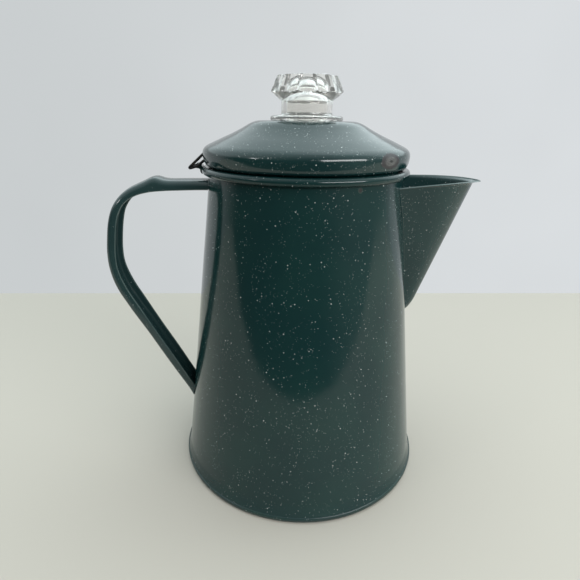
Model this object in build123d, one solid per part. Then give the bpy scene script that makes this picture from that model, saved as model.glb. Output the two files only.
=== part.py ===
"""Enamelled-steel camping coffee percolator.

Millimetres.  +Z is up, the origin is the centre of the foot ring on the
surface the pot stands on, +X points to the spout and -X to the handle.
"""
from build123d import *
import math
import os

os.makedirs("parts", exist_ok=True)

# ---------------------------------------------------------------- driving sizes
T = 0.9                 # enamelled sheet thickness

# pot wall (outer cone) and rolled rim
FOOT_R = 80.0           # outside of the crimped bottom seam
WALL_Z0, WALL_R0 = 3.6, 78.3
WALL_Z1, WALL_R1 = 190.2, 56.1
RIM_R, RIM_TUBE, RIM_Z = 60.4, 2.15, 191.2      # outermost radius, roll radius, roll centre height
RIM_C = RIM_R - RIM_TUBE

# spout
SPOUT_APEX = (67.7, 86.0)       # radius and height of the point the spout's sides run to
SPOUT_Z_BODY, SPOUT_Z_TIP = 184.7, 185.5
SPOUT_FRONT, SPOUT_LIP = 104.0, 109.2
HOLE_R = 2.2            # strainer hole radius

# handle
STRAP_W = 18.0
STRAP_T = 1.1
STRAP_EDGE_R = 3.2

# hinge
HINGE_X, HINGE_Z = -62.4, 193.4
WIRE_R = 0.75
WIRE_Y = 5.5
BARREL_IN, BARREL_OUT, BARREL_HALF = 0.82, 1.34, 4.3

# lid
HOLE_LID_R = 14.9
SKIRT_R, SKIRT_Z = 53.9, 186.6

# knob
KNOB_LID_Z = 218.5      # underside of the glass flange
NECK_R = 14.35
KNOB_IN_R = 11.4

# brewing parts
TUBE_R, TUBE_IN = 4.75, 3.95
TUBE_Z0, TUBE_Z1 = 12.6, 214.6
BASKET_Z = 136.4


def wall_r(z):
    return WALL_R0 + (WALL_R1 - WALL_R0) * (z - WALL_Z0) / (WALL_Z1 - WALL_Z0)


def ring(points, arc=360.0, start=0.0):
    """Solid of revolution about Z from (radius, height) points."""
    face = make_face(Polyline(*[(r, 0, z) for r, z in points], close=True))
    s = revolve(face, axis=Axis.Z, revolution_arc=arc)
    return Rot(0, 0, start) * s if start else s


def shell_ring(outer, t, arc=360.0, start=0.0):
    """Solid of revolution of a sheet whose outer side is a smooth curve through `outer`."""
    inner = []
    n = len(outer)
    for i in range(n):
        a, b = outer[max(i - 1, 0)], outer[min(i + 1, n - 1)]
        dx, dz = b[0] - a[0], b[1] - a[1]
        m = math.hypot(dx, dz)
        inner.append((outer[i][0] + dz / m * t, outer[i][1] - dx / m * t))
    e1 = Spline(*[(r, 0, z) for r, z in outer])
    e2 = Line((outer[-1][0], 0, outer[-1][1]), (inner[-1][0], 0, inner[-1][1]))
    e3 = Spline(*[(r, 0, z) for r, z in reversed(inner)])
    e4 = Line((inner[0][0], 0, inner[0][1]), (outer[0][0], 0, outer[0][1]))
    face = make_face([e1, e2, e3, e4])
    s = revolve(face, axis=Axis.Z, revolution_arc=arc)
    return Rot(0, 0, start) * s if start else s


def arc_pts(cx, cz, r, a0, a1, n):
    return [(cx + r * math.cos(math.radians(a0 + (a1 - a0) * i / n)),
             cz + r * math.sin(math.radians(a0 + (a1 - a0) * i / n))) for i in range(n + 1)]


def rod(p, q, r):
    """Round bar between two points, with ball ends so that bars join as a bent wire."""
    p, q = Vector(*p), Vector(*q)
    d = q - p
    c = Plane(origin=p, z_dir=d) * Cylinder(r, d.length, align=(Align.CENTER, Align.CENTER, Align.MIN))
    return c + Pos(*p) * Sphere(r) + Pos(*q) * Sphere(r)


def radial_hole(r, az, z, reach=140.0):
    c = Cylinder(r, reach, align=(Align.CENTER, Align.CENTER, Align.MIN))
    return Rot(0, 0, az) * (Pos(20, 0, z) * (Rot(0, 90, 0) * c))


def save(shape, name):
    solids = shape.solids()
    body = Compound(children=list(solids)) if len(solids) > 1 else solids[0]
    export_step(body, f"parts/{name}.step")
    print(f"{name:14s} solids {len(solids)} volume {sum(s.volume for s in solids):10.1f}")


# ---------------------------------------------------------------- pot wall
# cone with a flange turned out at the foot and a rolled rim at the top
mouth_r = RIM_C - RIM_TUBE              # inside of the roll = clear mouth of the pot
roll_out = arc_pts(RIM_C, RIM_Z, RIM_TUBE, 180, -112, 40)
roll_in = arc_pts(RIM_C, RIM_Z, RIM_TUBE - T, -112, 215, 44)
profile = [(76.9, 0.95), (79.1, 0.95), (79.1, 1.85), (78.75, 2.2), (WALL_R0, WALL_Z0), (wall_r(188.5), 188.5)]
profile += list(reversed(roll_in))
profile += list(reversed(roll_out))
profile += [(mouth_r - 0.2, 190.0), (55.45, 188.6), (wall_r(187.0) - T, 187.0), (WALL_R0 - T, WALL_Z0), (WALL_R0 - T - 0.1, 2.2)]
pot_wall = ring(profile)

# strainer holes behind the spout
rows = [(174.0, (-16, -8, 0, 8, 16)), (166.0, (-12, -4, 4, 12)), (158.0, (-13, -6.5, 0, 6.5, 13)),
        (150.0, (-9.5, -3.2, 3.2, 9.5)), (142.0, (-6.4, 0, 6.4)), (134.0, (-3.2, 3.2)), (126.0, (0,))]
for z, azs in rows:
    for az in azs:
        pot_wall -= radial_hole(HOLE_R, az, z)
save(pot_wall, "pot_wall")

# solid cone used to trim whatever is welded to the outside of the wall
outer_cone = ring([(0, -5), (WALL_R0 + 2, -5), (WALL_R0, WALL_Z0), (WALL_R1, WALL_Z1), (WALL_R1, 260), (0, 260)])

# ---------------------------------------------------------------- base plate
# flat floor, edge folded up and crimped over the wall flange
base_pts = [(0, 0), (78.0, 0), (78.9, 0.2), (79.5, 0.7), (79.88, 1.4), (FOOT_R, 2.3), (FOOT_R, 3.2), (79.7, 3.8), (79.2, 4.0), (78.7, 3.95), (78.5, 3.7),
            (78.65, 3.0), (78.85, 2.4), (78.95, 2.1), (79.15, 1.9), (79.15, T), (0, T)]
base_plate = ring(base_pts)
save(base_plate, "base_plate")

# ---------------------------------------------------------------- spout
tilt = math.degrees(math.atan2(SPOUT_Z_TIP - SPOUT_Z_BODY, SPOUT_LIP - 56.0))


def spout_plane(dz=0.0):
    t = math.radians(tilt)
    return Plane(origin=(0, 0, SPOUT_Z_BODY - 56.0 * math.tan(t) + dz),
                 x_dir=(math.cos(t), 0, math.sin(t)), z_dir=(-math.sin(t), 0, math.cos(t)))


def spout_section(front, grow, dz, k=1.0):
    """Plan section of the spout, a pointed arch on the tilted rim plane, scaled by k towards the apex."""
    s = (front - 56.0) / (SPOUT_FRONT - 56.0)
    half = [(56.0 + (x - 56.0) * s, y + grow * g) for x, y, g in
            ((42.0, 30.6, 1), (56.0, 27.0, 1), (70.0, 23.6, 1), (83.0, 18.8, 1), (92.8, 13.2, 1), (99.4, 7.8, 0.9), (102.7, 3.6, 0.6))]
    pts = half + [(front, 0.0)] + [(x, -y) for x, y in reversed(half)]
    pl = spout_plane(dz)
    ax, az = SPOUT_APEX
    world = []
    for x, y in pts:
        p = pl.from_local_coords(Vector(x, y, 0))
        world.append((ax + k * (p.X - ax), k * p.Y, az + k * (p.Z - az)))
    edge = Spline(*world)
    back = Line(world[-1], world[0])
    return make_face([edge, back])


lip_h = 1.5
F_IN = SPOUT_FRONT - 1.5
spout_out = loft([spout_section(SPOUT_FRONT, 0.0, -lip_h, 0.03), spout_section(SPOUT_FRONT, 0.0, -lip_h), spout_section(SPOUT_LIP, 0.75, 0.0)], ruled=True)
ax0, az0 = SPOUT_APEX
SPOUT_APEX = (ax0 + 0.3, az0 + 3.4)
spout_in = loft([spout_section(F_IN, -0.95, -lip_h, 0.02), spout_section(F_IN, -0.95, -lip_h), spout_section(SPOUT_LIP - 1.0, -0.05, 0.5)], ruled=True)
SPOUT_APEX = (ax0, az0)
print("spout lofts valid", spout_out.is_valid, spout_in.is_valid)
# the bottom of the spout curves in to the wall
toe = [(69.0, 99.5), (71.3, 100.8), (73.1, 103.0), (75.6, 107.3), (77.4, 111.6), (79.6, 117.4)]


def above_toe(d):
    pts = [(50.0, 98.6), (66.0, 98.8)] + toe
    out = []
    for i, (x, z) in enumerate(pts):
        a, b = pts[max(i - 1, 0)], pts[min(i + 1, len(pts) - 1)]
        m = math.hypot(b[0] - a[0], b[1] - a[1])
        out.append((x - (b[1] - a[1]) / m * d, z + (b[0] - a[0]) / m * d))
    out += [(140.0, out[-1][1]), (140.0, 215.0), (50.0, 215.0)]
    return extrude(make_face(Polyline(*[(x, 0, z) for x, z in out], close=True)), amount=60, both=True, dir=(0, 1, 0))


spout_out = spout_out & above_toe(0.0)
spout_in = spout_in & above_toe(T)
spout = spout_out - spout_in
print("spout shell valid", spout.is_valid)
spout -= outer_cone
parts_found = sorted(spout.solids(), key=lambda q: -q.volume)
print("spout pieces", [round(q.volume, 1) for q in parts_found])
spout = parts_found[0]
save(spout, "spout")

# ---------------------------------------------------------------- handle
outer_path = [(50, 185.45), (62, 185.45), (72, 185.4), (79.0, 185.4), (82.4, 185.8), (85.0, 186.65), (87.2, 186.95), (89.6, 186.35),
              (93.0, 184.75), (97.0, 183.0), (102.2, 180.5), (107.6, 176.4), (112.2, 170.3), (115.3, 162.4), (117.2, 152.9), (118.3, 143.1),
              (118.0, 133.2), (115.4, 121.9), (108.6, 107.5), (99.6, 91.2), (90.5, 73.8), (81.2, 56.6), (66.6, 30.2)]
free_edge = [(50, 180.6), (62, 180.4), (72.9, 180.1), (81.8, 179.8), (90.7, 179.0), (98.2, 176.9), (104.2, 173.0), (108.1, 167.4),
             (110.1, 160.9), (111.7, 152.0), (112.7, 142.9), (112.4, 133.2), (108.9, 121.9), (101.7, 107.4), (92.9, 90.2), (83.9, 73.5),
             (74.6, 55.4), (61.6, 30.4)]


def strap_region(outer, inner):
    o = Spline(*[(-a, 0, b) for a, b in outer])
    i = Spline(*[(-a, 0, b) for a, b in reversed(inner)])
    l1 = Line((-outer[-1][0], 0, outer[-1][1]), (-inner[-1][0], 0, inner[-1][1]))
    l2 = Line((-inner[0][0], 0, inner[0][1]), (-outer[0][0], 0, outer[0][1]))
    return make_face([o, l1, i, l2])


def offset_path(path, d):
    out = []
    n = len(path)
    for k in range(n):
        a, b = path[max(k - 1, 0)], path[min(k + 1, n - 1)]
        dx, dz = b[0] - a[0], b[1] - a[1]
        m = math.hypot(dx, dz)
        out.append((path[k][0] + dz / m * d, path[k][1] - dx / m * d))
    return out


def strap_edges(solid, y):
    """The two long outer edges of the strap at +y and -y."""
    picked = []
    for e in solid.edges():
        bb = e.bounding_box()
        if abs(abs(bb.min.Y) - y) < 1e-3 and abs(abs(bb.max.Y) - y) < 1e-3 and e.length > 150 and bb.min.X < -115:
            picked.append(e)
    return picked


bar = extrude(strap_region(outer_path, free_edge), amount=STRAP_W / 2, both=True, dir=(0, 1, 0))
bar = fillet(strap_edges(bar, STRAP_W / 2), STRAP_EDGE_R)
deep = offset_path(free_edge, 8.0)
core = extrude(strap_region(offset_path(outer_path, STRAP_T), deep), amount=STRAP_W / 2 - STRAP_T, both=True, dir=(0, 1, 0))
core_edges = [e for e in core.edges() if e.length > 150 and abs(abs(e.bounding_box().min.Y) - (STRAP_W / 2 - STRAP_T)) < 1e-3
              and e.bounding_box().min.X < -112]
core_edges = sorted(core_edges, key=lambda e: e.bounding_box().min.X)[:2]
core = fillet(core_edges, STRAP_EDGE_R - STRAP_T)
handle = bar - core - outer_cone
handle = Compound(children=[max(handle.solids(), key=lambda s: s.volume)]) if len(handle.solids()) > 1 else handle
save(handle, "handle")

# ---------------------------------------------------------------- hinge lug (welded to the rolled rim)
a0, a1 = -50, 52
band = arc_pts(RIM_C, RIM_Z, RIM_TUBE + 0.02, a0, a1, 20) + arc_pts(RIM_C, RIM_Z, RIM_TUBE + 0.85, a1, a0, 20)
half_deg = math.degrees(BARREL_HALF / RIM_R)
lug = ring(band, arc=2 * half_deg, start=180 - half_deg)
barrel = Pos(HINGE_X, 0, HINGE_Z) * (Rot(90, 0, 0) * Cylinder(BARREL_OUT, 2 * BARREL_HALF))
bore = Pos(HINGE_X, 0, HINGE_Z) * (Rot(90, 0, 0) * Cylinder(BARREL_IN, 20))
rim_torus = ring(arc_pts(RIM_C, RIM_Z, RIM_TUBE, 0, 354, 60))
reach = math.hypot(-HINGE_X - RIM_C, HINGE_Z - RIM_Z)
climb = math.degrees(math.atan2(HINGE_Z - RIM_Z, -HINGE_X - RIM_C))
web = Pos(-RIM_C, 0, RIM_Z) * (Rot(0, climb, 0) * (Pos(-(RIM_TUBE + 0.3 + reach) / 2, 0, 0) * Box(reach - RIM_TUBE - 0.3, 2 * BARREL_HALF, 2.0)))
lug = (lug + web + barrel) - rim_torus - bore
save(lug, "hinge_lug")

# ---------------------------------------------------------------- hinge wire (bent frame carried by the lid)
WA, WT, WH, WB = (-56.8, 201.9), (-67.9, 191.8), (HINGE_X, HINGE_Z), (-56.8, 197.8)
wire = None
legs = []
for y in (-WIRE_Y, WIRE_Y):
    pts = [(WA[0], y, WA[1]), (WT[0], y, WT[1]), (WH[0], y, WH[1]), (WB[0], y, WB[1]), (WA[0], y, WA[1])]
    for p, q in zip(pts, pts[1:]):
        legs.append((p, q))
        piece = rod(p, q, WIRE_R)
        wire = piece if wire is None else wire + piece
wire += rod((HINGE_X, -WIRE_Y, HINGE_Z), (HINGE_X, WIRE_Y, HINGE_Z), WIRE_R)
save(wire, "hinge_wire")

# ---------------------------------------------------------------- lid dome
dome_out = [(HOLE_LID_R, 218.3), (20.0, 218.3), (25.5, 218.25), (28.5, 217.95), (31.8, 216.85), (37.0, 214.0), (42.5, 211.25),
            (49.0, 208.35), (53.8, 206.15), (56.4, 204.9), (58.1, 203.7), (59.1, 202.2), (59.4, 200.5), (59.25, 198.5), (58.9, 196.7),
            (58.3, 195.2), (57.4, 194.15), (56.4, 193.75), (54.6, 193.7)]
dome = shell_ring(dome_out, T)
# bayonet notches beside the round hole, under the knob's flange
for az in (0, 180):
    notch = ring([(10, 210), (17.4, 210), (17.4, 225), (10, 225)], arc=40, start=az - 20)
    dome -= notch
for p, q in legs:
    dome -= rod(p, q, WIRE_R + 0.12)
dome = Compound(children=[max(dome.solids(), key=lambda s: s.volume)]) if len(dome.solids()) > 1 else dome
save(dome, "lid_dome")

# ---------------------------------------------------------------- lid skirt (clinched into the dome's rolled edge)
skirt = ring([(SKIRT_R - 0.8, SKIRT_Z), (SKIRT_R - 0.4, SKIRT_Z - 0.35), (SKIRT_R, SKIRT_Z), (SKIRT_R, 194.35), (SKIRT_R + 0.35, 194.67),
              (56.2, 194.69), (56.4, 194.95), (56.4, 195.47), (SKIRT_R, 195.47), (SKIRT_R - 0.8, 194.65)])
for p, q in legs:
    skirt -= rod(p, q, WIRE_R + 0.12)
skirt = Compound(children=[max(skirt.solids(), key=lambda s: s.volume)]) if len(skirt.solids()) > 1 else skirt
save(skirt, "lid_skirt")

# ---------------------------------------------------------------- glass knob
k_out = [(KNOB_IN_R, 212.6), (NECK_R - 0.3, 212.6), (NECK_R, 212.9), (NECK_R, KNOB_LID_Z), (20.3, KNOB_LID_Z), (20.7, 218.9),
         (20.7, 219.9), (20.1, 220.7), (19.4, 221.0), (NECK_R + 0.6, 221.2), (NECK_R, 221.9), (NECK_R, 228.3), (NECK_R + 0.5, 228.75),
         (20.5, 233.2), (20.6, 233.7), (17.2, 240.7), (16.4, 241.3), (8.0, 241.9), (0, 242.0)]
k_in = [(0, 238.6), (4.5, 238.2), (8.0, 236.8), (10.3, 234.2), (KNOB_IN_R, 230.8)]
knob = ring(k_out + k_in)
# twelve scooped flutes, each a tilted cylinder cut
FL_R = 17.0
lean = math.degrees(math.atan2(3.0, 7.1))
for i in range(12):
    c = Cylinder(FL_R, 40)
    cutter = Rot(0, 0, 15 + 30 * i) * (Pos(18.9 - 1.2 + FL_R, 0, 237.2) * (Rot(0, -lean, 0) * c))
    knob -= cutter & ring([(14.0, 228.0), (30, 228.0), (30, 243.5), (14.0, 243.5)])
# two bayonet lugs under the lid
for az in (90, 270):
    lugk = ring([(NECK_R - 0.5, 214.9), (16.4, 214.9), (16.8, 215.3), (16.8, 217.1), (NECK_R - 0.5, 217.1)], arc=30, start=az - 15)
    knob += lugk
save(knob, "glass_knob")

# ---------------------------------------------------------------- pump tube, stop ring, pump base
tube = ring([(TUBE_IN, TUBE_Z0), (TUBE_R, TUBE_Z0), (TUBE_R, TUBE_Z1 - 0.3), (TUBE_R - 0.25, TUBE_Z1), (TUBE_IN + 0.2, TUBE_Z1), (TUBE_IN, TUBE_Z1 - 0.2)])
save(tube, "pump_tube")

stop = ring([(TUBE_R, BASKET_Z - 4.2), (6.6, BASKET_Z - 4.2), (7.4, BASKET_Z - 3.2), (7.4, BASKET_Z - 0.6), (7.1, BASKET_Z - 0.2), (TUBE_R, BASKET_Z - 0.2)])
save(stop, "stop_ring")

base_z = T + 0.1
bell_out = [(33.6, base_z), (34.0, base_z + 0.9), (33.0, base_z + 2.2), (29.5, base_z + 3.6), (22.0, base_z + 5.3), (14.0, base_z + 7.0),
            (8.5, base_z + 8.8), (6.3, base_z + 11.2), (TUBE_R + 1.0, base_z + 14.5), (TUBE_R + 1.0, base_z + 21.0)]
bell_in = [(TUBE_R, base_z + 21.0), (TUBE_R, base_z + 13.6), (5.2, base_z + 11.0), (7.6, base_z + 8.0), (13.4, base_z + 6.0), (21.5, base_z + 4.3),
           (29.0, base_z + 2.6), (32.0, base_z + 1.4), (32.7, base_z + 0.8), (32.7, base_z)]
bell = ring(bell_out + bell_in)
for i in range(6):
    bell -= Rot(0, 0, 30 + 60 * i) * (Pos(33.0, 0, base_z) * Box(6, 9, 2.2))
for i in range(8):
    bell -= Rot(0, 0, 45 * i) * (Pos(20.0, 0, base_z + 4) * Cylinder(1.4, 14))
save(bell, "pump_base")

# ---------------------------------------------------------------- basket
BR = 40.6
cup_out = [(5.95, BASKET_Z), (35.5, BASKET_Z), (38.2, BASKET_Z + 1.2), (39.3, BASKET_Z + 4.0), (BR, BASKET_Z + 45.0), (BR + 0.9, BASKET_Z + 46.2),
           (BR + 0.9, BASKET_Z + 47.0), (BR - 0.1, BASKET_Z + 47.0), (BR - 0.8, BASKET_Z + 45.4), (38.5, BASKET_Z + 4.4), (37.6, BASKET_Z + 1.9),
           (35.3, BASKET_Z + 0.8), (5.95, BASKET_Z + 0.8)]
cup = ring(cup_out)
drill = []
for k, (rr, n) in enumerate([(10.5, 8), (16.0, 12), (21.5, 18), (27.0, 24), (32.5, 28)]):
    for i in range(n):
        a = 2 * math.pi * (i + 0.5 * (k % 2)) / n
        drill.append(Pos(rr * math.cos(a), rr * math.sin(a), BASKET_Z + 0.4) * Cylinder(1.1, 4))
cup -= drill
save(cup, "basket_cup")

sleeve = ring([(5.05, BASKET_Z), (5.95, BASKET_Z), (5.95, BASKET_Z + 49.4), (5.6, BASKET_Z + 49.8), (5.05, BASKET_Z + 49.8)])
save(sleeve, "basket_sleeve")

# ---------------------------------------------------------------- spreader (perforated basket cover)
SZ = BASKET_Z + 47.2         # underside of the cover where it sits on the basket rim
spr_pts = [(6.5, SZ - 0.9), (9.9, SZ - 0.9), (12.0, SZ - 2.4), (34.4, SZ - 2.4), (36.6, SZ - 1.9), (39.2, SZ), (41.4, SZ), (41.9, SZ - 0.5),
           (41.9, SZ - 4.6), (42.7, SZ - 4.6), (42.7, SZ - 0.1), (41.9, SZ + 0.8), (38.8, SZ + 0.8), (36.2, SZ - 1.1), (34.2, SZ - 1.6),
           (12.3, SZ - 1.6), (10.2, SZ - 0.1), (6.5, SZ - 0.1)]
spr = ring(spr_pts)
drill = []
for k, (rr, n) in enumerate([(14.5, 10), (19.5, 16), (24.5, 20), (29.5, 26)]):
    for i in range(n):
        a = 2 * math.pi * (i + 0.5 * (k % 2)) / n
        drill.append(Pos(rr * math.cos(a), rr * math.sin(a), SZ - 2.0) * Cylinder(1.1, 4))
spr -= drill
save(spr, "basket_cover")
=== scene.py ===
"""Looks of the enamelled camping percolator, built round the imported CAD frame.  Lengths in the helpers are millimetres."""

import math

import bmesh
import bpy
from mathutils import Matrix, Vector, noise


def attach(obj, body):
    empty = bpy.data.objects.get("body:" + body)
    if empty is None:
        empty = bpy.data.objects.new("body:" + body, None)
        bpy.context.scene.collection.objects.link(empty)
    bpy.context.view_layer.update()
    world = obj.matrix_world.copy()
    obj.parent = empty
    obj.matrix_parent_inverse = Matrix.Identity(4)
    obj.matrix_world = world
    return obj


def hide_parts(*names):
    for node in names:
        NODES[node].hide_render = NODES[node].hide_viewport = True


MM = 0.001
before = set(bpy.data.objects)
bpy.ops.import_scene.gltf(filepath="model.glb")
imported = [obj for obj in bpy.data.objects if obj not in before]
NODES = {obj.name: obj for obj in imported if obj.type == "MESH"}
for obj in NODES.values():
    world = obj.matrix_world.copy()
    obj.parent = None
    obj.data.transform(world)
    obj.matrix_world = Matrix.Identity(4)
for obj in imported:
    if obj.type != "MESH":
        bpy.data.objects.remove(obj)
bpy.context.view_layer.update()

# ------------------------------------------------------------------ sizes shared with the CAD part
T = 0.9
WALL_Z0, WALL_R0, WALL_Z1, WALL_R1 = 3.6, 78.3, 190.2, 56.1
RIM_R, RIM_TUBE, RIM_Z = 60.4, 2.15, 191.2
RIM_C = RIM_R - RIM_TUBE
FOOT_R = 80.0
HINGE_X, HINGE_Z = -62.4, 193.4
TURN = math.radians(7.0)        # the handle is turned this much towards the camera


def wall_r(z):
    return WALL_R0 + (WALL_R1 - WALL_R0) * (z - WALL_Z0) / (WALL_Z1 - WALL_Z0)


# ------------------------------------------------------------------ node helpers
def new_mat(name):
    m = bpy.data.materials.new(name)
    m.use_nodes = True
    nt = m.node_tree
    nt.nodes.clear()
    out = nt.nodes.new("ShaderNodeOutputMaterial")
    bsdf = nt.nodes.new("ShaderNodeBsdfPrincipled")
    nt.links.new(bsdf.outputs[0], out.inputs[0])
    return m, nt, bsdf


def node(nt, kind, **kw):
    n = nt.nodes.new(kind)
    for k, v in kw.items():
        setattr(n, k, v)
    return n


def link(nt, a, b):
    nt.links.new(a, b)


def math_node(nt, op, a, b=None, clamp=False):
    n = node(nt, "ShaderNodeMath", operation=op, use_clamp=clamp)
    for i, v in enumerate((a, b)):
        if v is None:
            continue
        if isinstance(v, (int, float)):
            n.inputs[i].default_value = v
        else:
            link(nt, v, n.inputs[i])
    return n.outputs[0]


def smooth(nt, value, lo, hi, a=0.0, b=1.0):
    n = node(nt, "ShaderNodeMapRange", interpolation_type="SMOOTHSTEP")
    for i, v in ((0, value), (1, lo), (2, hi), (3, a), (4, b)):
        if isinstance(v, (int, float)):
            n.inputs[i].default_value = v
        else:
            link(nt, v, n.inputs[i])
    return n.outputs[0]


def mix_col(nt, fac, a, b):
    n = node(nt, "ShaderNodeMix", data_type="RGBA")
    if isinstance(fac, (int, float)):
        n.inputs[0].default_value = fac
    else:
        link(nt, fac, n.inputs[0])
    for i, v in ((6, a), (7, b)):
        if isinstance(v, tuple):
            n.inputs[i].default_value = (*v, 1.0)
        else:
            link(nt, v, n.inputs[i])
    return n.outputs[2]


def coords_mm(nt):
    tc = node(nt, "ShaderNodeTexCoord")
    s = node(nt, "ShaderNodeVectorMath", operation="SCALE")
    link(nt, tc.outputs["Object"], s.inputs[0])
    s.inputs[3].default_value = 1000.0
    return s.outputs[0]


def voronoi(nt, vec, cell, **kw):
    n = node(nt, "ShaderNodeTexVoronoi", voronoi_dimensions="3D", feature="F1")
    link(nt, vec, n.inputs["Vector"])
    n.inputs["Scale"].default_value = 1.0 / cell
    return n


def noise_tex(nt, vec, size, detail=2.0, rough=0.5):
    n = node(nt, "ShaderNodeTexNoise", noise_dimensions="3D")
    link(nt, vec, n.inputs["Vector"])
    n.inputs["Scale"].default_value = 1.0 / size
    n.inputs["Detail"].default_value = detail
    n.inputs["Roughness"].default_value = rough
    return n.outputs["Fac"]


def bump(nt, bsdf, height, dist, strength=1.0, after=None):
    b = node(nt, "ShaderNodeBump")
    b.inputs["Strength"].default_value = strength
    b.inputs["Distance"].default_value = dist
    link(nt, height, b.inputs["Height"])
    if after is not None:
        link(nt, after, b.inputs["Normal"])
    return b.outputs[0]


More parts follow.
